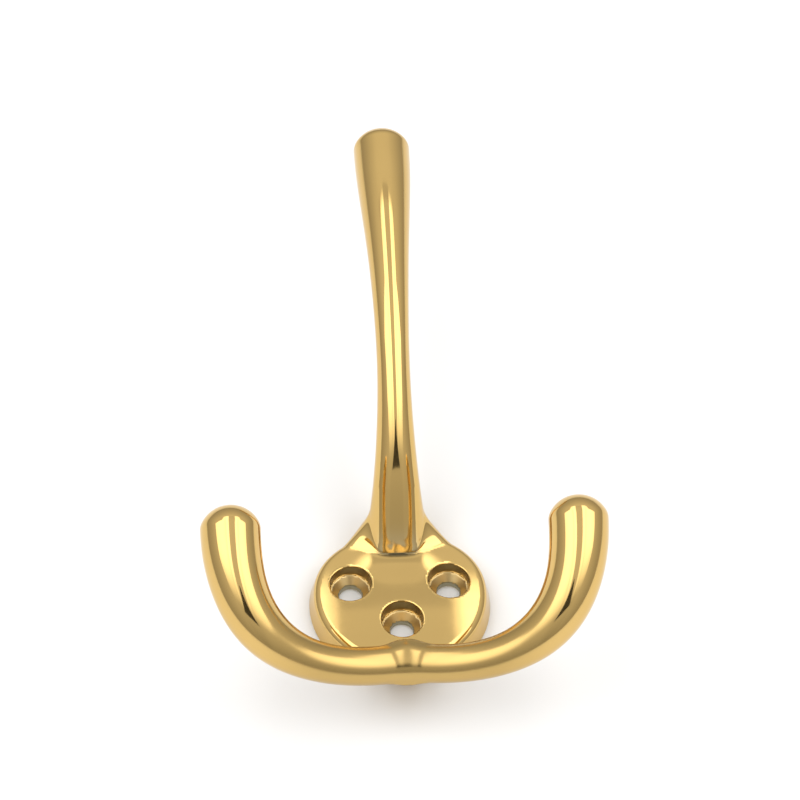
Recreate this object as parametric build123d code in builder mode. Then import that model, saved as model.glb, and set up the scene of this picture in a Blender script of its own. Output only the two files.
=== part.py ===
from build123d import *
import os

# Triple wall hook, one brass casting, sizes in millimetres.
# Frame: X to the right, Z up the wall, Y into the wall. The origin lies on the back face
# at the plate's centre. "Out" is the distance in front of the wall, so it runs along -Y.

# Plate: round below, drawn in by two shoulders to a thumb that carries the arm
plate_radius = 18.9
plate_round_end_angle = 8.0
plate_shoulder = (12.6, 12.3)
plate_thumb_corner = (7.5, 18.4)
plate_wall_lean_angle = 13.0
plate_rim_height = 5.2
plate_crown_rise = 1.0
plate_edge_round = 1.2

# Three screw holes: a bore for the head, a countersink below it and a shank hole
screw_pair_spacing = 20.4
screw_pair_rise = 1.9
low_screw_drop = 7.4
shank_hole_radius = 2.4
head_bore_radius = 4.25
head_bore_floor = 3.0
sink_radius = 3.9
sink_angle = 90.0
hole_edge_round = 0.2

# Upper arm: it leaves the plate at a steep slope, then turns upright.
# Each pair is out, rise.
arm_root = (1.0, 10.9)
arm_first_handle = (46.1, 33.2)
arm_second_handle = (41.1, 68.8)
arm_tip = (41.2, 90.8)
# Each row is the share of the arm's length, half width, half depth
arm_sections = [
    (0.00, 6.60, 4.70),
    (0.05, 6.00, 4.52),
    (0.11, 5.45, 4.35),
    (0.20, 4.65, 4.10),
    (0.30, 3.90, 3.83),
    (0.42, 3.45, 3.53),
    (0.56, 3.68, 3.68),
    (0.70, 4.39, 4.39),
    (0.84, 5.24, 5.24),
    (0.94, 5.67, 5.67),
    (1.00, 5.76, 5.76),
]

# Lower double hook: one bar from tip to tip, its middle hung below the foot of the plate.
# Each triple is x, out, rise from the bar's middle, for the right half.
bar_drop = 3.8
bar_middle_out = 13.0
bar_handles = [(6.0, 13.0, -0.8), (18.7, 15.0, -3.8), (30.0, 21.5, -3.7), (34.4, 29.5, 4.2)]
bar_tip = (34.5, 35.0, 18.0)
bar_middle_radius = 3.95
# Each row is the share of the half bar's length, radius
bar_sections = [
    (0.20, 3.88),
    (0.40, 4.15),
    (0.60, 4.98),
    (0.80, 5.62),
    (0.93, 5.95),
    (1.00, 6.02),
]

# Neck between the foot of the plate and the middle of the bar
neck_root_out = 2.6
neck_root_inset = 3.0
neck_root_half_width = 6.0
neck_root_half_depth = 3.8
neck_half_width = 4.6
neck_half_depth = 3.3

# Domed ends, as shares of the end's radius
dome_height_share = 0.82
dome_shoulder_share = 0.55

# Rounds where the limbs meet
arm_root_round = 2.4
neck_bar_round = 2.5


def place(x, out, rise):
    """Point in the part's frame from its side step, its distance off the wall and its height."""
    return Vector(x, -out, rise)


def mirrored(vector):
    """The same point or direction on the other side of the middle plane."""
    return Vector(-vector.X, vector.Y, vector.Z)


with BuildPart() as triple_hook:
    # Plate: half outline mirrored, drawn out with a leaning wall
    plate_crown_height = plate_rim_height + plate_crown_rise
    with BuildSketch(Plane.XZ):
        with BuildLine():
            round_edge = CenterArc((0, 0), plate_radius, -90, 90 + plate_round_end_angle)
            shoulder = TangentArc(round_edge @ 1, plate_shoulder, tangent=round_edge % 1)
            flank = TangentArc(plate_shoulder, plate_thumb_corner, tangent=shoulder % 1)
            # The thumb's arc is centred on the middle line and carries the flank on
            thumb_lean = (flank % 1).X / (flank % 1).Y
            thumb_centre = plate_thumb_corner[1] + plate_thumb_corner[0] * thumb_lean
            thumb_top = thumb_centre + plate_thumb_corner[0] * (1 + thumb_lean**2) ** 0.5
            TangentArc(plate_thumb_corner, (0, thumb_top), tangent=flank % 1)
            Line((0, thumb_top), round_edge @ 0)
        make_face()
        mirror(about=Plane.YZ)
    extrude(amount=plate_crown_height, taper=plate_wall_lean_angle)

    # Low crown on the plate's front, with a small round along its edge
    crown_radius = (plate_radius**2 + plate_crown_rise**2) / (2 * plate_crown_rise)
    with Locations((0, crown_radius - plate_crown_height, 0)):
        Sphere(crown_radius, mode=Mode.INTERSECT)
    crown_face = triple_hook.faces().filter_by(GeomType.SPHERE)[0]
    fillet(crown_face.outer_wire().edges(), plate_edge_round)

    # Upper arm: oval at the root, round from the middle to the tip
    with BuildLine(mode=Mode.PRIVATE) as arm_line:
        Bezier(*[place(0, *point) for point in (arm_root, arm_first_handle, arm_second_handle, arm_tip)])
    arm_axis = arm_line.edge()
    for share, half_width, half_depth in arm_sections:
        heading = arm_axis % share if share > 0 else Vector(0, -1, 0)
        with BuildSketch(Plane(arm_axis @ share, heading.cross(Vector(1, 0, 0)), heading)):
            Ellipse(half_depth, half_width)
    loft()
    fillet(triple_hook.edges(Select.NEW), arm_root_round)

    # Lower bar: sections from the left tip through the middle to the right tip
    bar_rise = -plate_radius - bar_drop
    bar_middle = place(0, bar_middle_out, bar_rise)
    with BuildLine(mode=Mode.PRIVATE) as bar_line:
        Bezier(bar_middle, *[place(x, out, bar_rise + rise) for x, out, rise in (*bar_handles, bar_tip)])
    bar_axis = bar_line.edge()
    right_half = [(bar_axis @ share, bar_axis % share, radius) for share, radius in bar_sections]
    left_half = [(mirrored(centre), -mirrored(heading), radius) for centre, heading, radius in right_half]
    middle = (bar_middle, Vector(1, 0, 0), bar_middle_radius)
    tip_normal = Vector(1, 0, 0).cross(bar_axis % 1)
    for centre, heading, radius in (*reversed(left_half), middle, *right_half):
        with BuildSketch(Plane(centre, heading.cross(tip_normal), heading)):
            Circle(radius)
    loft()

    # Neck from inside the plate's lower edge, flared at its root, into the middle of the bar
    neck_start = place(0, neck_root_out, neck_root_inset - plate_radius)
    neck_way = bar_middle - neck_start
    for centre, half_width, half_depth in (
        (neck_start, neck_root_half_width, neck_root_half_depth),
        (neck_start + neck_way / 2, neck_half_width, neck_half_depth),
        (bar_middle, neck_half_width, neck_half_depth),
    ):
        with BuildSketch(Plane(centre, neck_way.cross(Vector(1, 0, 0)), neck_way)):
            Ellipse(half_depth, half_width)
    loft()
    neck_joints = triple_hook.edges(Select.NEW)
    bar_side = neck_joints.filter_by_position(Axis.Y, bar_middle.Y, (neck_start.Y + bar_middle.Y) / 2)
    fillet(bar_side, neck_bar_round)

    # Domes on the three tips: a shoulder arc and a crown arc, tangent to each other
    arm_end = (arm_axis @ 1, arm_axis % 1, arm_sections[-1][1])
    for end, way, end_radius in (arm_end, right_half[-1], left_half[-1]):
        outward = way if way.Z > 0 else -way
        height = dome_height_share * end_radius
        shoulder_round = dome_shoulder_share * end_radius
        shoulder_reach = end_radius - shoulder_round
        dome_radius = (height**2 + shoulder_reach**2 - shoulder_round**2) / (2 * (height - shoulder_round))
        dome_centre = Vector(height - dome_radius, 0)
        shoulder_centre = Vector(0, shoulder_reach)
        meeting = dome_centre + (shoulder_centre - dome_centre).normalized() * dome_radius
        with BuildSketch(Plane(end, outward, outward.cross(Vector(1, 0, 0)))):
            with BuildLine():
                dome_shoulder = TangentArc((0, end_radius), meeting, tangent=(1, 0))
                TangentArc(meeting, (height, 0), tangent=dome_shoulder % 1)
                Polyline((height, 0), (0, 0), (0, end_radius))
            make_face()
        revolve(axis=Axis(origin=end, direction=outward))

    # Screw holes, drilled square to the wall
    pair_reach = screw_pair_spacing / 2
    screw_spots = [(-pair_reach, screw_pair_rise), (pair_reach, screw_pair_rise), (0, -low_screw_drop)]
    with BuildSketch(Plane.XZ.offset(head_bore_floor)):
        with Locations(*screw_spots):
            Circle(head_bore_radius)
    extrude(amount=plate_crown_height, mode=Mode.SUBTRACT)
    fillet(triple_hook.edges(Select.NEW).filter_by(GeomType.BSPLINE), hole_edge_round)
    with Locations(Plane.XZ.offset(head_bore_floor)):
        with Locations(*screw_spots):
            CounterSinkHole(shank_hole_radius, sink_radius, 2 * head_bore_floor, sink_angle)

triple_hook.part.label = "triple_hook"
os.makedirs("parts", exist_ok=True)
export_step(triple_hook.part, "parts/triple_hook.step")
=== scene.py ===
import math

import bpy
import numpy as np
from mathutils import Matrix, Vector


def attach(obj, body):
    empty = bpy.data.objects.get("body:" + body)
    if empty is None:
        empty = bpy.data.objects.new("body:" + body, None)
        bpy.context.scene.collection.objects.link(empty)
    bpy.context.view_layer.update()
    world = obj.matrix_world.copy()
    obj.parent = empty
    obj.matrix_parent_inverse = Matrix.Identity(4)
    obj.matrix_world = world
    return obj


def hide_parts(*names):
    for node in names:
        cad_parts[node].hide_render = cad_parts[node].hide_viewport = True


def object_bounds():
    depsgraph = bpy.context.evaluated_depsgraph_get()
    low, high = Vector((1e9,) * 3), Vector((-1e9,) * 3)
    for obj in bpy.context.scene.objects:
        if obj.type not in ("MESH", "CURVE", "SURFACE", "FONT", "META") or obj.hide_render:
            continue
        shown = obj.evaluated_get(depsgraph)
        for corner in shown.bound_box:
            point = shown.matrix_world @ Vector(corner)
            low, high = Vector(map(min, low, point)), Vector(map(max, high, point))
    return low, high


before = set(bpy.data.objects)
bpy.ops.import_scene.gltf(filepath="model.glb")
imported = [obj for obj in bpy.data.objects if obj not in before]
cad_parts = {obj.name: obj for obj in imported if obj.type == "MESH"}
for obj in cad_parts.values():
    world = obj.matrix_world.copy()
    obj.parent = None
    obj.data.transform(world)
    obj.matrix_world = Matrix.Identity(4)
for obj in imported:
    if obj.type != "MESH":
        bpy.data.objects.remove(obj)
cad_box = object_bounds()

MM = 0.001
# Divisors are kept above this
TINY = 1e-6

# Sizes of the casting in millimetres, close to those in the part's source. The thumb, the arm's
# sections and the bar's middle differ a little from it, to follow the photograph.
# "Out" is the distance in front of the wall and runs along -Y; rise runs along +Z.
PLATE_RADIUS = 18.9
PLATE_ROUND_END_ANGLE = 8.0
PLATE_SHOULDER = (11.9, 12.9)
PLATE_THUMB_CORNER = (5.6, 20.0)
PLATE_WALL_LEAN_ANGLE = 13.0
PLATE_RIM_HEIGHT = 5.2
PLATE_CROWN_RISE = 1.0
PLATE_EDGE_ROUND = 1.2
PLATE_BACK_EDGE_ROUND = 0.25
# The plate's front swells by this height towards the arm, within this reach
PLATE_SWELL = 0.5
PLATE_SWELL_REACH = 4.0

SCREW_PAIR_SPACING = 20.4
SCREW_PAIR_RISE = 1.9
LOW_SCREW_DROP = 7.4
SHANK_HOLE_RADIUS = 2.4
HEAD_BORE_RADIUS = 4.25
HEAD_BORE_FLOOR = 3.0
SINK_RADIUS = 3.9
HOLE_EDGE_ROUND = 0.35

ARM_AXIS = [(1.0, 10.9), (46.1, 33.2), (41.1, 68.8), (41.2, 90.8)]
# Each row is the share of the arm's length, half width, half depth
ARM_SECTIONS = [
    (0.00, 7.40, 5.40),
    (0.05, 6.60, 4.75),
    (0.11, 5.72, 4.28),
    (0.20, 4.68, 3.98),
    (0.30, 3.90, 3.78),
    (0.42, 3.45, 3.53),
    (0.56, 3.68, 3.68),
    (0.70, 4.39, 4.39),
    (0.84, 5.36, 5.24),
    (0.94, 5.92, 5.67),
    (1.00, 6.06, 5.76),
]
# The underside of the arm is a flat facet at the root, which fades out along the arm
ARM_FACET_POWER = 1.0
ARM_FACET_END_SHARE = 0.34
# Its sides are hollow beside the facet: how much narrower it is there than at the axis, for shares
# of the arm's length, and the share of the half depth where the hollow ends
ARM_HOLLOW = [(0.0, 0.16), (0.06, 0.16), (0.12, 0.08), (0.18, 0.0)]
ARM_HOLLOW_END = 0.7

BAR_DROP = 3.8
BAR_MIDDLE_OUT = 13.0
# Each triple is x, out, rise from the bar's middle, for the right half
BAR_HANDLES = [(6.0, 13.0, -0.8), (18.7, 15.0, -3.8), (30.0, 21.5, -3.7), (34.4, 29.5, 4.2)]
BAR_TIP = (34.5, 35.0, 18.0)
# Each row is the share of the half bar's length, radius
BAR_SECTIONS = [
    (0.00, 3.95),
    (0.20, 3.88),
    (0.40, 4.15),
    (0.60, 4.98),
    (0.80, 5.62),
    (0.93, 5.95),
    (1.00, 6.02),
]
# The bar's halves are blended within this distance of its middle, this softly
BAR_MIDDLE_REACH = 8.0
BAR_MIDDLE_BLEND = 1.0
# Low boss on the bar's middle: half length along X, radius across, and how softly it joins the bar
BOSS_HALF_LENGTH = 5.2
BOSS_RADIUS = 4.2
BOSS_BLEND = 0.8

NECK_ROOT_OUT = 2.6
NECK_ROOT_INSET = 3.0
# Each row is the share of the neck's length, half width, half depth
NECK_SECTIONS = [(0.0, 6.0, 3.8), (0.5, 4.6, 3.3), (1.0, 4.6, 3.3)]

DOME_HEIGHT_SHARE = 0.82
DOME_SHOULDER_SHARE = 0.55

# The arm meets the plate in a sharp crease in front and in wide hollows at its sides
ARM_CREASE_ROUND = 0.3
ARM_SIDE_ROUND = 6.0
ARM_CREASE_END_ANGLE = 35.0
ARM_SIDE_START_ANGLE = 95.0
NECK_ROOT_ROUND = 0.6
NECK_BAR_ROUND = 2.5

# Grid step of the skin and its room round the CAD box, in millimetres
SKIN_STEP = 0.363
SKIN_MARGIN = 3.0 * SKIN_STEP
# The search for the surface starts with cells of this many steps
COARSE_STEPS = 8
# Each point is drawn onto the surface this often, by no more than this distance
PULL_ROUNDS = 2
PULL_LIMIT = 0.4 * SKIN_STEP
# The field's value changes by no more than this for each millimetre
STEEPEST_FIELD = 2.6
# Corners of a cell, and the bit of a corner's number that steps along each axis
CORNERS = np.array([(i, j, k) for i in (0, 1) for j in (0, 1) for k in (0, 1)])
AXIS_BITS = (4, 2, 1)


def smooth_step(low, high, value):
    """0 below low, 1 above high and a smooth rise between."""
    share = np.clip((value - low) / (high - low), 0.0, 1.0)
    return share * share * (3.0 - 2.0 * share)


def round_union(a, b, radius):
    """Union of two distance fields, with a hollow round of this radius where they meet."""
    reach = np.hypot(np.maximum(radius - a, 0.0), np.maximum(radius - b, 0.0))
    return np.maximum(radius, np.minimum(a, b)) - reach


def round_cut(a, b, radius):
    """What two distance fields share, with its edge rounded to this radius."""
    reach = np.hypot(np.maximum(a + radius, 0.0), np.maximum(b + radius, 0.0))
    return np.minimum(-radius, np.maximum(a, b)) + reach


def soft_union(a, b, width):
    """Union of two distance fields that swells a little where they are equal."""
    blend = np.maximum(width - np.abs(a - b), 0.0) / width
    return np.minimum(a, b) - blend * blend * width / 4.0


class Spline:
    """Smooth curve of values over shares from 0 to 1, through each row of a table."""

    def __init__(self, rows):
        self.x = np.array([row[0] for row in rows])
        self.y = np.array([row[1:] for row in rows])
        count = len(rows)
        step = np.diff(self.x)
        system = np.eye(count)
        right = np.zeros_like(self.y)
        for i in range(1, count - 1):
            system[i, i - 1 : i + 2] = step[i - 1], 2.0 * (step[i - 1] + step[i]), step[i]
            slope_after = (self.y[i + 1] - self.y[i]) / step[i]
            slope_before = (self.y[i] - self.y[i - 1]) / step[i - 1]
            right[i] = 6.0 * (slope_after - slope_before)
        self.bend = np.linalg.solve(system, right)

    def at(self, share):
        i = np.clip(np.searchsorted(self.x, share, side="right") - 1, 0, len(self.x) - 2)
        step = (self.x[i + 1] - self.x[i])[:, None]
        b = (share[:, None] - self.x[i][:, None]) / step
        a = 1.0 - b
        bent = (a**3 - a) * self.bend[i] + (b**3 - b) * self.bend[i + 1]
        return a * self.y[i] + b * self.y[i + 1] + bent * step**2 / 6.0


class Axis:
    """Bezier curve that can say which of its points lies nearest to each given point."""

    # Samples for the first guess, the steps that refine it, and the least share of the squared
    # speed that a step divides by
    SAMPLES = 48
    NEWTON_STEPS = 5
    LEAST_SLOPE = 0.3
    LENGTH_SAMPLES = 2001
    CHUNK = 40000

    def __init__(self, points):
        points = np.array(points, float)
        degree = len(points) - 1
        rows = []
        for j in range(degree + 1):
            weights = [(-1.0) ** (i + j) * math.comb(j, i) for i in range(j + 1)]
            rows.append(math.comb(degree, j) * np.dot(weights, points[: j + 1]))
        self.place = np.array(rows)
        self.speed = self.place[1:] * np.arange(1, degree + 1)[:, None]
        self.turn = self.speed[1:] * np.arange(1, degree)[:, None]
        self.sample_t = np.linspace(0.0, 1.0, self.SAMPLES)
        self.sample_points = self.value(self.place, self.sample_t)
        self.length_t = np.linspace(0.0, 1.0, self.LENGTH_SAMPLES)
        runs = np.linalg.norm(np.diff(self.value(self.place, self.length_t), axis=0), axis=1)
        lengths = np.concatenate([[0.0], np.cumsum(runs)])
        self.length_share = lengths / lengths[-1]

    @staticmethod
    def value(rows, t):
        total = np.zeros((len(t), rows.shape[1]))
        for row in rows[::-1]:
            total = total * t[:, None] + row
        return total

    def nearest(self, points):
        """Share of the length, point and heading of the axis nearest to each given point."""
        t = np.empty(len(points))
        for start in range(0, len(points), self.CHUNK):
            some = points[start : start + self.CHUNK]
            apart = some[:, None, :] - self.sample_points[None, :, :]
            t[start : start + self.CHUNK] = self.sample_t[np.argmin((apart**2).sum(2), axis=1)]
        for _ in range(self.NEWTON_STEPS):
            apart = self.value(self.place, t) - points
            speed = self.value(self.speed, t)
            speed_squared = (speed**2).sum(1)
            slope = speed_squared + (apart * self.value(self.turn, t)).sum(1)
            slope = np.maximum(slope, self.LEAST_SLOPE * speed_squared)
            t = np.clip(t - (apart * speed).sum(1) / slope, 0.0, 1.0)
        speed = self.value(self.speed, t)
        heading = speed / np.linalg.norm(speed, axis=1)[:, None]
        share = np.interp(t, self.length_t, self.length_share)
        return share, self.value(self.place, t), heading


def tangent_arc(start, tangent, end):
    """Arc from start along tangent to end, and its tangent there.

    The arc is its centre, its radius (negative if it turns right), its start and its end.
    """
    start, tangent, end = np.array(start), np.array(tangent), np.array(end)
    left = np.array([-tangent[1], tangent[0]])
    chord = end - start
    radius = chord @ chord / (2.0 * chord @ left)
    centre = start + left * radius
    spoke = (end - centre) / radius
    return (centre, radius, start, end), np.array([-spoke[1], spoke[0]])


def plate_arcs():
    """The plate's outline on its right half, from the foot round to the top of the thumb."""
    angle = math.radians(PLATE_ROUND_END_ANGLE)
    round_end = np.array([math.cos(angle), math.sin(angle)]) * PLATE_RADIUS
    round_arc = (np.zeros(2), PLATE_RADIUS, np.array([0.0, -PLATE_RADIUS]), round_end)
    shoulder, way = tangent_arc(round_end, (-math.sin(angle), math.cos(angle)), PLATE_SHOULDER)
    flank, way = tangent_arc(PLATE_SHOULDER, way, PLATE_THUMB_CORNER)
    lean = way[0] / way[1]
    thumb_centre = PLATE_THUMB_CORNER[1] + PLATE_THUMB_CORNER[0] * lean
    thumb_top = thumb_centre + PLATE_THUMB_CORNER[0] * math.hypot(1.0, lean)
    thumb, _ = tangent_arc(PLATE_THUMB_CORNER, way, (0.0, thumb_top))
    return [round_arc, shoulder, flank, thumb]


def outline_distance(x, rise):
    """Signed distance to the plate's outline, negative inside."""
    points = np.stack([np.abs(x), rise], axis=1)
    nearest = np.full(len(points), np.inf)
    signed = np.zeros(len(points))
    for centre, radius, start, end in plate_arcs():
        spoke = points - centre
        turn = math.copysign(1.0, radius)
        first, last = start - centre, end - centre
        after_start = turn * (first[0] * spoke[:, 1] - first[1] * spoke[:, 0]) >= 0
        before_end = turn * (spoke[:, 0] * last[1] - spoke[:, 1] * last[0]) >= 0
        off_arc = (np.hypot(spoke[:, 0], spoke[:, 1]) - abs(radius)) * turn
        to_ends = np.minimum(np.hypot(*(points - start).T), np.hypot(*(points - end).T))
        away = np.where(after_start & before_end, np.abs(off_arc), to_ends)
        closer = away < nearest
        nearest[closer] = away[closer]
        signed[closer] = np.copysign(away, off_arc)[closer]
    return signed


def plate_field(x, out, rise, arm):
    """The keyhole plate, not yet cut flat at the back: a leaning wall and a crowned front.

    The last value is the distance to the arm.
    """
    lean = math.radians(PLATE_WALL_LEAN_ANGLE)
    wall = (outline_distance(x, rise) + out * math.tan(lean)) * math.cos(lean)
    crown_height = PLATE_RIM_HEIGHT + PLATE_CROWN_RISE
    crown_radius = (PLATE_RADIUS**2 + PLATE_CROWN_RISE**2) / (2.0 * PLATE_CROWN_RISE)
    crown = np.sqrt(x**2 + rise**2 + (out - crown_height + crown_radius) ** 2) - crown_radius
    swell = PLATE_SWELL * np.exp(-((np.maximum(arm, 0.0) / PLATE_SWELL_REACH) ** 2))
    return round_cut(wall, crown - swell, PLATE_EDGE_ROUND)


def dome_field(along, aside, end_radius):
    """The domed end of a limb: a shoulder arc and a crown arc, tangent to each other."""
    height = DOME_HEIGHT_SHARE * end_radius
    shoulder_round = DOME_SHOULDER_SHARE * end_radius
    reach = end_radius - shoulder_round
    radius = (height**2 + reach**2 - shoulder_round**2) / (2.0 * (height - shoulder_round))
    centre = height - radius
    on_shoulder = -centre * aside - reach * (along - centre) > 0.0
    shoulder = np.hypot(along, aside - reach) - shoulder_round
    crown = np.hypot(along - centre, aside) - radius
    return np.where(on_shoulder, shoulder, crown)


arm_axis = Axis(ARM_AXIS)
arm_sizes = Spline(ARM_SECTIONS)


def arm_field(x, out, rise):
    """The upper arm and the angle round it, 0 on its underside and 90 degrees at its sides."""
    points = np.stack([out, rise], axis=1)
    share, centre, heading = arm_axis.nearest(points)
    apart = points - centre
    along = (apart * heading).sum(1)
    above = apart[:, 1] * heading[:, 0] - apart[:, 0] * heading[:, 1]
    half_width, half_depth = arm_sizes.at(share).T
    facet = ARM_FACET_POWER * (1.0 - smooth_step(0.0, ARM_FACET_END_SHARE, share))
    power = 2.0 + np.where(above < 0.0, facet, 0.0)
    deep = np.abs(above) / half_depth
    hollow = np.interp(share, *zip(*ARM_HOLLOW))
    hollow *= smooth_step(0.0, ARM_HOLLOW_END, -above / half_depth)
    across = np.abs(x) / (half_width * (1.0 - hollow))
    size = np.maximum((across**power + deep**power) ** (1.0 / power), TINY)
    steep = np.hypot(
        (across / size) ** (power - 1.0) / half_width, (deep / size) ** (power - 1.0) / half_depth
    )
    tube = (size - 1.0) / np.maximum(steep, TINY)
    end_half_width, end_half_depth = ARM_SECTIONS[-1][1:]
    dome = dome_field(along, np.hypot(x * end_half_depth / end_half_width, above), end_half_depth)
    field = np.where((share >= 1.0) & (along > 0.0), dome, tube)
    field = np.where(share <= 0.0, np.maximum(field, -along), field)
    return field, np.degrees(np.arctan2(across, -above / half_depth))


bar_rise = -PLATE_RADIUS - BAR_DROP
bar_points = [(x, out, bar_rise + rise) for x, out, rise in (*BAR_HANDLES, BAR_TIP)]
bar_axis = Axis([(0.0, BAR_MIDDLE_OUT, bar_rise), *bar_points])
bar_sizes = Spline(BAR_SECTIONS)


def half_bar_field(x, out, rise):
    """The right half of the lower bar, from its middle to the domed tip."""
    points = np.stack([x, out, rise], axis=1)
    share, centre, heading = bar_axis.nearest(points)
    apart = points - centre
    along = (apart * heading).sum(1)
    away = np.linalg.norm(apart, axis=1)
    tube = away - bar_sizes.at(share)[:, 0]
    aside = np.sqrt(np.maximum(away**2 - along**2, 0.0))
    dome = dome_field(along, aside, BAR_SECTIONS[-1][1])
    return np.where((share >= 1.0) & (along > 0.0), dome, tube)


def bar_field(x, out, rise):
    """The lower bar, both halves."""
    field = half_bar_field(np.abs(x), out, rise)
    near_middle = np.abs(x) < BAR_MIDDLE_REACH
    other = half_bar_field(-np.abs(x[near_middle]), out[near_middle], rise[near_middle])
    field[near_middle] = soft_union(field[near_middle], other, BAR_MIDDLE_BLEND)
    across = np.hypot(out - BAR_MIDDLE_OUT, rise - bar_rise)
    boss = (np.hypot(x / BOSS_HALF_LENGTH, across / BOSS_RADIUS) - 1.0) * BOSS_RADIUS
    return soft_union(field, boss, BOSS_BLEND)


neck_sizes = Spline(NECK_SECTIONS)


def neck_field(x, out, rise):
    """The oval neck from the foot of the plate to the bar's middle."""
    start = np.array([NECK_ROOT_OUT, NECK_ROOT_INSET - PLATE_RADIUS])
    way = np.array([BAR_MIDDLE_OUT, bar_rise]) - start
    length = np.linalg.norm(way)
    way /= length
    apart = np.stack([out, rise], axis=1) - start
    along = apart @ way
    above = apart @ np.array([-way[1], way[0]])
    half_width, half_depth = neck_sizes.at(np.clip(along / length, 0.0, 1.0)).T
    size = np.maximum(np.hypot(x / half_width, above / half_depth), TINY)
    steep = np.hypot(x / half_width**2, above / half_depth**2) / size
    tube = (size - 1.0) / np.maximum(steep, TINY)
    return np.maximum(tube, np.abs(along - length / 2.0) - length / 2.0)


def screw_spots():
    """Centres of the three screw holes, as x and rise."""
    reach = SCREW_PAIR_SPACING / 2.0
    return [(-reach, SCREW_PAIR_RISE), (reach, SCREW_PAIR_RISE), (0.0, -LOW_SCREW_DROP)]


def hole_field(away, out):
    """A screw hole by the distance from its axis: shank hole, countersink and head bore."""
    sink_foot = HEAD_BORE_FLOOR - (SINK_RADIUS - SHANK_HOLE_RADIUS)
    bore = np.maximum(away - HEAD_BORE_RADIUS, HEAD_BORE_FLOOR - out)
    # The countersink's sides stand at 90 degrees to each other
    cone = (away - SHANK_HOLE_RADIUS - (out - sink_foot)) * math.sqrt(0.5)
    sink = np.maximum(cone, out - HEAD_BORE_FLOOR)
    return np.minimum(np.minimum(away - SHANK_HOLE_RADIUS, sink), bore)


def hook_field(points):
    """Signed distance to the whole casting, in millimetres, negative inside."""
    x, out, rise = points[:, 0], -points[:, 1], points[:, 2]
    arm, angle = arm_field(x, out, rise)
    side = smooth_step(ARM_CREASE_END_ANGLE, ARM_SIDE_START_ANGLE, angle)
    arm_round = ARM_CREASE_ROUND + (ARM_SIDE_ROUND - ARM_CREASE_ROUND) * side
    body = round_union(plate_field(x, out, rise, arm), arm, arm_round)
    body = round_cut(body, -out, PLATE_BACK_EDGE_ROUND)
    limb = round_union(bar_field(x, out, rise), neck_field(x, out, rise), NECK_BAR_ROUND)
    body = round_union(body, limb, NECK_ROOT_ROUND)
    for hole_x, hole_rise in screw_spots():
        away = np.hypot(x - hole_x, rise - hole_rise)
        body = round_cut(body, -hole_field(away, out), HOLE_EDGE_ROUND)
    return body


def field_slope(points, step=0.01):
    """Unit normals of the field at the given points."""
    slope = np.empty_like(points)
    for axis in range(3):
        nudge = np.zeros(3)
        nudge[axis] = step
        slope[:, axis] = hook_field(points + nudge) - hook_field(points - nudge)
    return slope / np.maximum(np.linalg.norm(slope, axis=1), TINY)[:, None]


def cells_near_surface(low, high):
    """Grid cells of SKIN_STEP that lie close to the surface, found from coarse cells inwards."""
    size = COARSE_STEPS
    counts = np.ceil((high - low) / (SKIN_STEP * size)).astype(int)
    places = np.meshgrid(*[np.arange(n) for n in counts], indexing="ij")
    cells = np.stack(places, -1).reshape(-1, 3) * size
    while True:
        centres = low + (cells + size / 2.0) * SKIN_STEP
        reach = STEEPEST_FIELD * math.sqrt(3.0) / 2.0 * size * SKIN_STEP
        cells = cells[np.abs(hook_field(centres)) < reach]
        if size == 1:
            return cells
        size //= 2
        cells = (cells[:, None, :] + CORNERS[None, :, :] * size).reshape(-1, 3)


def skin_surface():
    """Points, normals and quads of the surface, with one point in each cell that it crosses."""
    low = np.array(cad_box[0]) / MM - SKIN_MARGIN
    high = np.array(cad_box[1]) / MM + SKIN_MARGIN
    cells = cells_near_surface(low, high)
    # Coarse cells can reach past the far side, so the keys have room for them
    span = np.ceil((high - low) / SKIN_STEP).astype(np.int64) + COARSE_STEPS + 2

    def key(cell):
        return (cell[:, 0] * span[1] + cell[:, 1]) * span[2] + cell[:, 2]

    nodes = (cells[:, None, :] + CORNERS[None, :, :]).reshape(-1, 3)
    _, first, back = np.unique(key(nodes), return_index=True, return_inverse=True)
    values = hook_field(low + nodes[first] * SKIN_STEP)[back].reshape(-1, len(CORNERS))
    crossed = (values.min(axis=1) < 0.0) & (values.max(axis=1) >= 0.0)
    cells, values = cells[crossed], values[crossed]
    order = np.argsort(key(cells))
    cells, values = cells[order], values[order]
    keys = key(cells)

    # Start each point at the mean of its cell's edge crossings, then draw it onto the surface
    total = np.zeros((len(cells), 3))
    number = np.zeros(len(cells))
    for a in range(len(CORNERS)):
        for axis, bit in enumerate(AXIS_BITS):
            if a & bit:
                continue
            va, vb = values[:, a], values[:, a | bit]
            cut = (va < 0.0) != (vb < 0.0)
            share = np.where(cut, va / np.where(cut, va - vb, 1.0), 0.0)
            point = np.tile(CORNERS[a].astype(float), (len(cells), 1))
            point[:, axis] += share
            total += point * cut[:, None]
            number += cut
    points = low + (cells + total / number[:, None]) * SKIN_STEP
    for _ in range(PULL_ROUNDS):
        pull = field_slope(points) * hook_field(points)[:, None]
        points -= np.clip(pull, -PULL_LIMIT, PULL_LIMIT)
    points[:, 1] = np.minimum(points[:, 1], 0.0)

    quads = []
    for axis, bit in enumerate(AXIS_BITS):
        va, vb = values[:, 0], values[:, bit]
        cut = np.nonzero((va < 0.0) != (vb < 0.0))[0]
        second, third = np.eye(3, dtype=np.int64)[[(axis + 1) % 3, (axis + 2) % 3]]
        ring = [cells[cut], cells[cut] - second, cells[cut] - second - third, cells[cut] - third]
        ring_keys = np.stack([key(cell) for cell in ring], axis=1)
        corner_ids = np.searchsorted(keys, ring_keys)
        assert np.array_equal(keys[corner_ids], ring_keys)
        rising = va[cut] < 0.0
        corner_ids[~rising] = corner_ids[~rising][:, ::-1]
        quads.append(corner_ids)
    return points, field_slope(points), np.concatenate(quads)


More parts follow.
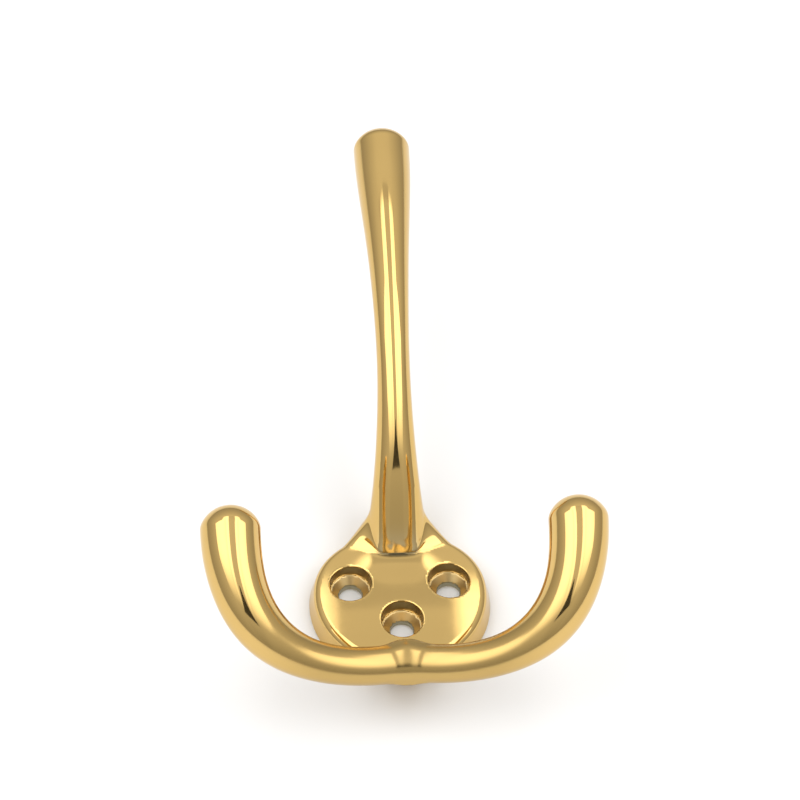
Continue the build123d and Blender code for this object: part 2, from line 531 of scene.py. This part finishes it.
# Sockets of a Mix node that mixes colours
MIX_FIRST = 6
MIX_SECOND = 7
MIX_RESULT = 2


def feed(tree, socket, value):
    """Give a socket a number or another node's output."""
    if isinstance(value, bpy.types.NodeSocket):
        tree.links.new(value, socket)
    else:
        socket.default_value = value


def math_node(tree, operation, first, second=None):
    """A Math node; each input is a number or another node's output."""
    node = tree.nodes.new("ShaderNodeMath")
    node.operation = operation
    feed(tree, node.inputs[0], first)
    if second is not None:
        feed(tree, node.inputs[1], second)
    return node.outputs[0]


def ramp_node(tree, value, low, high):
    """0 up to low, 1 from high on and a smooth rise between."""
    node = tree.nodes.new("ShaderNodeMapRange")
    node.interpolation_type = "SMOOTHSTEP"
    node.inputs["From Min"].default_value = low
    node.inputs["From Max"].default_value = high
    tree.links.new(value, node.inputs["Value"])
    return node.outputs["Result"]


def tone_ramp(tree, value, tones):
    """Grey tones by a value from 0 to 1, straight between the given stops."""
    node = tree.nodes.new("ShaderNodeValToRGB")
    stops = node.color_ramp.elements
    while len(stops) < len(tones):
        stops.new(0.5)
    for stop, (position, tone) in zip(stops, tones):
        stop.position = position
        stop.color = (tone, tone, tone, 1.0)
    tree.links.new(value, node.inputs["Fac"])
    return node.outputs["Color"]


def mix_node(tree, factor, first, second):
    """A mix of two colours; each is a row of four numbers or another node's output."""
    node = tree.nodes.new("ShaderNodeMix")
    node.data_type = "RGBA"
    tree.links.new(factor, node.inputs["Factor"])
    feed(tree, node.inputs[MIX_FIRST], first)
    feed(tree, node.inputs[MIX_SECOND], second)
    return node.outputs[MIX_RESULT]


def noise_node(tree, place, scale, detail):
    """The value of a Noise node at a place."""
    node = tree.nodes.new("ShaderNodeTexNoise")
    node.inputs["Scale"].default_value = scale
    node.inputs["Detail"].default_value = detail
    tree.links.new(place, node.inputs["Vector"])
    return node.outputs["Fac"]


def bump_node(tree, height, distance, strength=1.0, normal=None):
    """The normal of a relief, laid over another normal where one is given."""
    node = tree.nodes.new("ShaderNodeBump")
    node.inputs["Distance"].default_value = distance
    feed(tree, node.inputs["Strength"], strength)
    tree.links.new(height, node.inputs["Height"])
    if normal is not None:
        tree.links.new(normal, node.inputs["Normal"])
    return node.outputs["Normal"]


def attribute_node(tree, name):
    """The number that the mesh stores under this name."""
    node = tree.nodes.new("ShaderNodeAttribute")
    node.attribute_name = name
    return node.outputs["Fac"]


def separate_node(tree, vector):
    """The X, Y and Z of a vector."""
    node = tree.nodes.new("ShaderNodeSeparateXYZ")
    tree.links.new(vector, node.inputs["Vector"])
    return node.outputs["X"], node.outputs["Y"], node.outputs["Z"]


def node_material(name):
    """A material that holds only a Principled shader, with its node tree and that shader."""
    material = bpy.data.materials.new(name)
    material.use_nodes = True
    tree = material.node_tree
    tree.nodes.clear()
    output = tree.nodes.new("ShaderNodeOutputMaterial")
    shader = tree.nodes.new("ShaderNodeBsdfPrincipled")
    tree.links.new(shader.outputs["BSDF"], output.inputs["Surface"])
    return material, tree, shader


# Finishes of the brass: name, two close tones, range of roughness, strength and scale of the
# finishing marks, and how the marks are stretched
EVEN_MARKS = (1.0, 1.0, 1.0)
RING_MARKS = (1.0, 6.0, 1.0)
FINISHES = [
    (
        "polished_brass",
        [(0.71, 0.485, 0.175, 1.0), (0.68, 0.455, 0.16, 1.0)],
        (0.05, 0.09), 0.05, 900.0, EVEN_MARKS,
    ),
    (
        "turned_brass",
        [(0.70, 0.52, 0.24, 1.0), (0.62, 0.45, 0.20, 1.0)],
        (0.30, 0.42), 0.3, 1500.0, RING_MARKS,
    ),
    # Walls of the head bores: brass darkened as painted shade in the recess
    (
        "bored_brass_painted_shade",
        [(0.33, 0.235, 0.085, 1.0), (0.25, 0.17, 0.06, 1.0)],
        (0.26, 0.38), 0.3, 1500.0, RING_MARKS,
    ),
    (
        "drilled_brass",
        [(0.40, 0.36, 0.24, 1.0), (0.33, 0.30, 0.20, 1.0)],
        (0.30, 0.45), 0.3, 1500.0, RING_MARKS,
    ),
]
POLISHED, TURNED, BORED_SHADED, DRILLED = range(len(FINISHES))
TONE_SCALE = 90.0
TONE_DETAIL = 3.0
MARK_DETAIL = 4.0
MARK_HEIGHT = 0.02 * MM

# By the share of its normal along +Y, a face is part of the back above the first of these, and of
# a hole's wall between the two
BACK_FACING = 0.8
WALL_FACING = -0.5
# Faces count as part of a cone or a bore up to this far past its radius
CONE_MARGIN = 0.15
BORE_MARGIN = 0.12

# The bar's middle is rougher, because a polishing wheel doesn't reach it well, and its colour is
# darkened there as painted shade that dims its reflections: the heights and the distances from the
# middle over which this fades, what it adds to the roughness, and the share of the colour that it
# keeps
DULL_SHADE_HEIGHTS = (-19.0 * MM, -15.0 * MM)
DULL_SHADE_WIDTHS = (15.0 * MM, 32.0 * MM)
DULL_ROUGHNESS = 0.15
BAR_PAINTED_SHADE_TONE = 0.78

# The hand-polished surface is a little wavy: waves per metre, their detail and their height
WAVE_SCALE = 100.0
WAVE_DETAIL = 1.0
WAVE_HEIGHT = 0.03 * MM

# The foot of the arm's facet is worked with a file by hand, so it is wavier, and its colour is
# lighter there, a painted highlight that brightens its reflections: its reach from the crease in
# millimetres, the angles round the arm where it fades out, and how far off the arm it ends
FILED_HIGHLIGHT_REACH = 3.5
FILED_HIGHLIGHT_ANGLES = (30.0, 50.0)
FILED_HIGHLIGHT_OFF_ARM = 0.1
FILED_PAINTED_HIGHLIGHT = (0.80, 0.63, 0.33, 1.0)
FILED_SCALE = 260.0
FILED_HEIGHT = 0.09 * MM

# Dark line in the crease, painted shade that also stands for polishing compound left there: its
# half width in millimetres, and the angles round the arm where it fades out
RESIDUE_SHADE_HALF_WIDTH = 0.42
RESIDUE_SHADE_FADE = (32.0, 55.0)
RESIDUE_SHADE_COLOUR = (0.03, 0.022, 0.01, 1.0)


def brass_material(name, tones, roughness, mark_strength, mark_scale, mark_stretch):
    """Solid brass: two close tones, uneven gloss and fine marks left by the finishing."""
    material, tree, shader = node_material(name)
    shader.inputs["Metallic"].default_value = 1.0
    place = tree.nodes.new("ShaderNodeTexCoord").outputs["Object"]

    # Colour: darkened on the bar's middle as painted shade, lighter at the foot of the facet as a
    # painted highlight, dark in the crease as painted shade and polishing compound
    colour = mix_node(tree, noise_node(tree, place, TONE_SCALE, TONE_DETAIL), *tones)
    x, _, z = separate_node(tree, place)
    low = math_node(tree, "SUBTRACT", 1.0, ramp_node(tree, z, *DULL_SHADE_HEIGHTS))
    wide = ramp_node(tree, math_node(tree, "ABSOLUTE", x), *DULL_SHADE_WIDTHS)
    dull_and_shaded = math_node(tree, "MULTIPLY", low, math_node(tree, "SUBTRACT", 1.0, wide))
    # Painted shade: how much the colour is darkened on the bar's middle
    painted_shade = math_node(tree, "MULTIPLY", dull_and_shaded, 1.0 - BAR_PAINTED_SHADE_TONE)
    shaded_colour = tree.nodes.new("ShaderNodeVectorMath")
    shaded_colour.operation = "SCALE"
    tree.links.new(colour, shaded_colour.inputs["Vector"])
    tree.links.new(math_node(tree, "SUBTRACT", 1.0, painted_shade), shaded_colour.inputs["Scale"])
    filed_and_highlight = attribute_node(tree, "filed_and_highlight")
    # Painted highlight: lighter colour at the foot of the facet
    highlighted = mix_node(tree, filed_and_highlight, shaded_colour.outputs["Vector"], FILED_PAINTED_HIGHLIGHT)
    # Painted shade: dark line in the crease, also standing for polishing compound
    soiled_and_shaded = mix_node(tree, attribute_node(tree, "residue_and_shade"), highlighted, RESIDUE_SHADE_COLOUR)
    tree.links.new(soiled_and_shaded, shader.inputs["Base Color"])

    # Gloss: uneven by the finishing marks, duller on the bar's middle
    stretched = tree.nodes.new("ShaderNodeMapping")
    stretched.inputs["Scale"].default_value = mark_stretch
    tree.links.new(place, stretched.inputs["Vector"])
    marks = noise_node(tree, stretched.outputs["Vector"], mark_scale, MARK_DETAIL)
    gloss = tree.nodes.new("ShaderNodeMapRange")
    gloss.inputs["To Min"].default_value = roughness[0]
    gloss.inputs["To Max"].default_value = roughness[1]
    tree.links.new(marks, gloss.inputs["Value"])
    extra = math_node(tree, "MULTIPLY", dull_and_shaded, DULL_ROUGHNESS)
    rough = math_node(tree, "ADD", gloss.outputs["Result"], extra)
    tree.links.new(rough, shader.inputs["Roughness"])

    # Relief: waves, then file strokes, then the finishing marks
    waves = noise_node(tree, place, WAVE_SCALE, WAVE_DETAIL)
    strokes = noise_node(tree, place, FILED_SCALE, WAVE_DETAIL)
    normal = bump_node(tree, waves, WAVE_HEIGHT)
    normal = bump_node(tree, strokes, FILED_HEIGHT, filed_and_highlight, normal)
    normal = bump_node(tree, marks, MARK_HEIGHT, mark_strength, normal)
    tree.links.new(normal, shader.inputs["Normal"])
    return material


def face_finishes(middle, facing):
    """Which finish each face has, by its middle and its normal."""
    on_plate = middle[:, 1] > -PLATE_RIM_HEIGHT - PLATE_CROWN_RISE
    finish = np.where(on_plate & (facing[:, 1] > BACK_FACING), TURNED, POLISHED)
    on_wall = on_plate & (facing[:, 1] > WALL_FACING) & (facing[:, 1] < BACK_FACING)
    for hole_x, hole_rise in screw_spots():
        away = np.hypot(middle[:, 0] - hole_x, middle[:, 2] - hole_rise)
        in_cone = away < SINK_RADIUS + CONE_MARGIN
        finish[on_plate & in_cone] = TURNED
        # The head bores' walls take the dark brass, painted shade in the recess
        finish[on_wall & ~in_cone & (away < HEAD_BORE_RADIUS + BORE_MARGIN)] = BORED_SHADED
        finish[on_wall & (away < SHANK_HOLE_RADIUS + BORE_MARGIN)] = DRILLED
    return finish


def crease_marks(points):
    """How far each point is worked with a file and lit by a painted highlight, and how far the
    painted shade and polishing compound of the crease cover it, from 0 to 1.
    """
    x, out, rise = points[:, 0], -points[:, 1], points[:, 2]
    arm, angle = arm_field(x, out, rise)
    off_crease = np.hypot(plate_field(x, out, rise, arm), arm)
    filed_and_highlight = np.exp(-((off_crease / FILED_HIGHLIGHT_REACH) ** 2))
    filed_and_highlight *= 1.0 - smooth_step(*FILED_HIGHLIGHT_ANGLES, angle)
    filed_and_highlight[np.abs(arm) > FILED_HIGHLIGHT_OFF_ARM] = 0.0
    residue_and_shade = np.exp(-((off_crease / RESIDUE_SHADE_HALF_WIDTH) ** 2))
    residue_and_shade *= 1.0 - smooth_step(*RESIDUE_SHADE_FADE, angle)
    return filed_and_highlight, residue_and_shade


def hook_skin():
    """The casting as one smooth skin that stands for the solid node."""
    points, normals, quads = skin_surface()
    mesh = bpy.data.meshes.new("hook_skin")
    mesh.from_pydata((points * MM).tolist(), [], quads.tolist())
    mesh.polygons.foreach_set("use_smooth", np.ones(len(quads), bool))
    mesh.normals_split_custom_set_from_vertices(normals.tolist())
    skin = bpy.data.objects.new("hook_skin", mesh)
    bpy.context.scene.collection.objects.link(skin)

    for finish in FINISHES:
        mesh.materials.append(brass_material(*finish))
    finishes = face_finishes(points[quads].mean(axis=1), normals[quads].mean(axis=1))
    mesh.polygons.foreach_set("material_index", finishes.astype(np.int32))
    for name, values in zip(("filed_and_highlight", "residue_and_shade"), crease_marks(points)):
        attribute = mesh.attributes.new(name, "FLOAT", "POINT")
        attribute.data.foreach_set("value", values.astype(np.float32))
    mesh.update()
    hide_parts("triple_hook")
    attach(skin, "root")


MATT_ROUGHNESS = 0.9

# The backdrop: half its side, its distance behind the plate and its tone
BACKDROP_HALF = 1.5
BACKDROP_GAP = 0.1 * MM
BACKDROP_TONE = 0.88
# Rays shorter than this pass the backdrop, so that the plate's back isn't black from behind
BACKDROP_TOUCH = 0.4 * MM

# Dark card below the camera, as seen in the photograph's reflections: it widens towards its foot
CARD_OUT = 0.45
CARD_TOP = -0.35
CARD_TOP_HALF_WIDTH = 0.012
CARD_FOOT = -0.71
CARD_FOOT_HALF_WIDTH = 0.174
CARD_TONE = 0.06


def flat_sheet(name, corners, material_name, tone):
    """A flat sheet of one matt grey, with its material's node tree and shader."""
    mesh = bpy.data.meshes.new(name)
    mesh.from_pydata(corners, [], [range(len(corners))])
    sheet = bpy.data.objects.new(name, mesh)
    bpy.context.scene.collection.objects.link(sheet)
    material, tree, shader = node_material(material_name)
    shader.inputs["Base Color"].default_value = (tone, tone, tone, 1.0)
    shader.inputs["Roughness"].default_value = MATT_ROUGHNESS
    mesh.materials.append(material)
    return sheet, tree, shader


def backdrop():
    """The pale flat surface that the plate lies against, seen only from its front."""
    half = BACKDROP_HALF
    corners = [(-half, -half), (half, -half), (half, half), (-half, half)]
    places = [(x, BACKDROP_GAP, z) for x, z in corners]
    sheet, tree, shader = flat_sheet("backdrop", places, "backdrop_white", BACKDROP_TONE)
    geometry = tree.nodes.new("ShaderNodeNewGeometry")
    path = tree.nodes.new("ShaderNodeLightPath")
    touching = math_node(tree, "LESS_THAN", path.outputs["Ray Length"], BACKDROP_TOUCH)
    unseen = math_node(tree, "MAXIMUM", geometry.outputs["Backfacing"], touching)
    clear = tree.nodes.new("ShaderNodeBsdfTransparent")
    mix = tree.nodes.new("ShaderNodeMixShader")
    tree.links.new(unseen, mix.inputs["Fac"])
    tree.links.new(shader.outputs["BSDF"], mix.inputs[1])
    tree.links.new(clear.outputs["BSDF"], mix.inputs[2])
    tree.links.new(mix.outputs["Shader"], tree.nodes["Material Output"].inputs["Surface"])


def dark_card():
    """The dark card that only reflections see."""
    foot, top = CARD_FOOT_HALF_WIDTH, CARD_TOP_HALF_WIDTH
    corners = [(-top, CARD_TOP), (top, CARD_TOP), (foot, CARD_FOOT), (-foot, CARD_FOOT)]
    places = [(x, -CARD_OUT, z) for x, z in corners]
    card, _, _ = flat_sheet("dark_card", places, "card_black", CARD_TONE)
    card.visible_camera = False
    card.visible_diffuse = False
    card.visible_shadow = False


# The camera of the photograph: it looks at the plate from the front and below. Angles are in
# degrees and lengths in millimetres; the shift moves the part right and up in the picture.
CAMERA_TILT = 38.4963
CAMERA_SWING = 2.93354
CAMERA_ROLL = 1.61574
CAMERA_DISTANCE = 600.0
CAMERA_SHIFT = (-0.0537, -42.7664)
CAMERA_LENS = 129.6
CAMERA_SENSOR = 36.0


def camera_axes():
    """Rows are the camera's right, up and back directions."""
    tilt, swing, roll = (math.radians(a) for a in (CAMERA_TILT, CAMERA_SWING, CAMERA_ROLL))
    tilted = np.array(
        [
            [1, 0, 0],
            [0, -math.sin(tilt), math.cos(tilt)],
            [0, -math.cos(tilt), -math.sin(tilt)],
        ]
    )
    swung = np.array(
        [
            [math.cos(swing), 0, math.sin(swing)],
            [0, 1, 0],
            [-math.sin(swing), 0, math.cos(swing)],
        ]
    )
    rolled = np.array(
        [
            [math.cos(roll), -math.sin(roll), 0],
            [math.sin(roll), math.cos(roll), 0],
            [0, 0, 1],
        ]
    )
    return rolled @ swung @ tilted


def camera():
    """The scene's camera, at the photograph's place."""
    axes = camera_axes()
    place = axes.T @ np.array([-CAMERA_SHIFT[0], -CAMERA_SHIFT[1], CAMERA_DISTANCE]) * MM
    data = bpy.data.cameras.new("camera")
    data.sensor_width = CAMERA_SENSOR
    data.lens = CAMERA_LENS
    eye = bpy.data.objects.new("camera", data)
    matrix = Matrix(axes.T.tolist()).to_4x4()
    matrix.translation = Vector(place)
    eye.matrix_world = matrix
    bpy.context.scene.collection.objects.link(eye)
    bpy.context.scene.camera = eye


# A pair of softboxes hangs in front of the backdrop with a gap between them
SOFTBOX_OUT = 0.5
SOFTBOX_LEFT_EDGE = -0.068
SOFTBOX_RIGHT_EDGE = 0.105
SOFTBOX_WIDTH = 0.62
SOFTBOX_TOP = 0.41
SOFTBOX_FOOT = -0.72
SOFTBOX_POWER = 4.05
# Brightness by the share of the width, from the gap outwards
SOFTBOX_TONES = [
    (0.0, 0.2),
    (0.04, 1.0),
    (0.12, 1.0),
    (0.17, 0.7),
    (0.25, 0.95),
    (0.5, 0.95),
    (1.0, 0.75),
]
# Share of the width that is lit, by the share of the height: narrow at the top
SOFTBOX_REACH = [(0.0, 0.6), (0.40, 1.0), (0.66, 1.0), (0.76, 0.36), (1.0, 0.24)]
# Shares of the width over which the lit part fades out at its outer edge
SOFTBOX_EDGE_FADE = (-0.02, 0.08)
# By the share of the height: where the fade at the foot ends and where the one at the top starts
SOFTBOX_FOOT_FADE = 0.50
SOFTBOX_TOP_FADE = 0.93


def softbox(name, inner_edge, side):
    """A rectangular lamp that faces the backdrop, on the given side of the gap."""
    data = bpy.data.lights.new(name, "AREA")
    data.shape = "RECTANGLE"
    data.size = SOFTBOX_WIDTH
    data.size_y = SOFTBOX_TOP - SOFTBOX_FOOT
    data.energy = SOFTBOX_POWER
    data.use_nodes = True
    tree = data.node_tree
    face = tree.nodes.new("ShaderNodeNewGeometry")
    outward, upward, _ = separate_node(tree, face.outputs["Parametric"])
    if side < 0.0:
        outward = math_node(tree, "SUBTRACT", 1.0, outward)
    reach = tone_ramp(tree, upward, SOFTBOX_REACH)
    within = ramp_node(tree, math_node(tree, "SUBTRACT", reach, outward), *SOFTBOX_EDGE_FADE)
    foot = ramp_node(tree, upward, 0.0, SOFTBOX_FOOT_FADE)
    top = math_node(tree, "SUBTRACT", 1.0, ramp_node(tree, upward, SOFTBOX_TOP_FADE, 1.0))
    glow = tree.nodes["Emission"]
    tree.links.new(tone_ramp(tree, outward, SOFTBOX_TONES), glow.inputs["Color"])
    lit = math_node(tree, "MULTIPLY", within, math_node(tree, "MULTIPLY", foot, top))
    tree.links.new(lit, glow.inputs["Strength"])
    lamp = bpy.data.objects.new(name, data)
    middle_x = inner_edge + side * SOFTBOX_WIDTH / 2.0
    lamp.location = (middle_x, -SOFTBOX_OUT, (SOFTBOX_TOP + SOFTBOX_FOOT) / 2.0)
    lamp.rotation_euler = (math.radians(90.0), 0.0, 0.0)
    lamp.visible_camera = False
    bpy.context.scene.collection.objects.link(lamp)


# Brightness of the room by the sine of the height over the backdrop: dim along its edge
ROOM_TONES = [(-1.0, 0.6), (-0.05, 0.52), (0.08, 0.47), (0.36, 0.62), (0.62, 0.80), (1.0, 0.95)]

# Faint bands of the room above the softboxes: brightness by the slope of the direction, the
# slopes to the side over which the bands fade out, and the ends of both scales
BAND_TONES = [
    (0.0, 0.92),
    (0.5, 0.92),
    (0.605, 0.98),
    (0.62, 0.80),
    (0.705, 0.78),
    (0.725, 1.03),
    (0.95, 1.06),
    (1.5, 1.0),
]
BAND_FADE = (0.45, 0.8)
BAND_TOP_SLOPE = 2.0
BAND_TOP_TONE = 1.25
# Slopes are taken over at least this height
BAND_LEAST_HEIGHT = 0.05
WHITE = (1.0, 1.0, 1.0, 1.0)


def room():
    """Plain surroundings: white to the camera, dim near the backdrop's plane, paler in front."""
    world = bpy.data.worlds.new("room")
    bpy.context.scene.world = world
    world.use_nodes = True
    tree = world.node_tree
    direction = tree.nodes.new("ShaderNodeTexCoord")
    x, y, z = separate_node(tree, direction.outputs["Generated"])
    height = math_node(tree, "MULTIPLY", y, -1.0)
    share = math_node(tree, "MULTIPLY", math_node(tree, "ADD", height, 1.0), 0.5)
    tones = tone_ramp(tree, share, [((sine + 1.0) / 2.0, tone) for sine, tone in ROOM_TONES])

    over = math_node(tree, "MAXIMUM", height, BAND_LEAST_HEIGHT)
    aside = math_node(tree, "ABSOLUTE", math_node(tree, "DIVIDE", x, over))
    slope = math_node(tree, "DIVIDE", z, over)
    bands = tone_ramp(
        tree,
        math_node(tree, "DIVIDE", slope, BAND_TOP_SLOPE),
        [(stop / BAND_TOP_SLOPE, tone / BAND_TOP_TONE) for stop, tone in BAND_TONES],
    )
    excess = math_node(tree, "SUBTRACT", math_node(tree, "MULTIPLY", bands, BAND_TOP_TONE), 1.0)
    middle = math_node(tree, "SUBTRACT", 1.0, ramp_node(tree, aside, *BAND_FADE))
    banded = math_node(tree, "ADD", math_node(tree, "MULTIPLY", excess, middle), 1.0)
    shaded = math_node(tree, "MULTIPLY", tones, banded)
    path = tree.nodes.new("ShaderNodeLightPath")
    seen = mix_node(tree, path.outputs["Is Camera Ray"], shaded, WHITE)
    tree.links.new(seen, tree.nodes["Background"].inputs["Color"])


hook_skin()
backdrop()
dark_card()
camera()
softbox("left_softbox", SOFTBOX_LEFT_EDGE, -1.0)
softbox("right_softbox", SOFTBOX_RIGHT_EDGE, 1.0)
room()
bpy.context.scene.view_settings.view_transform = "Standard"
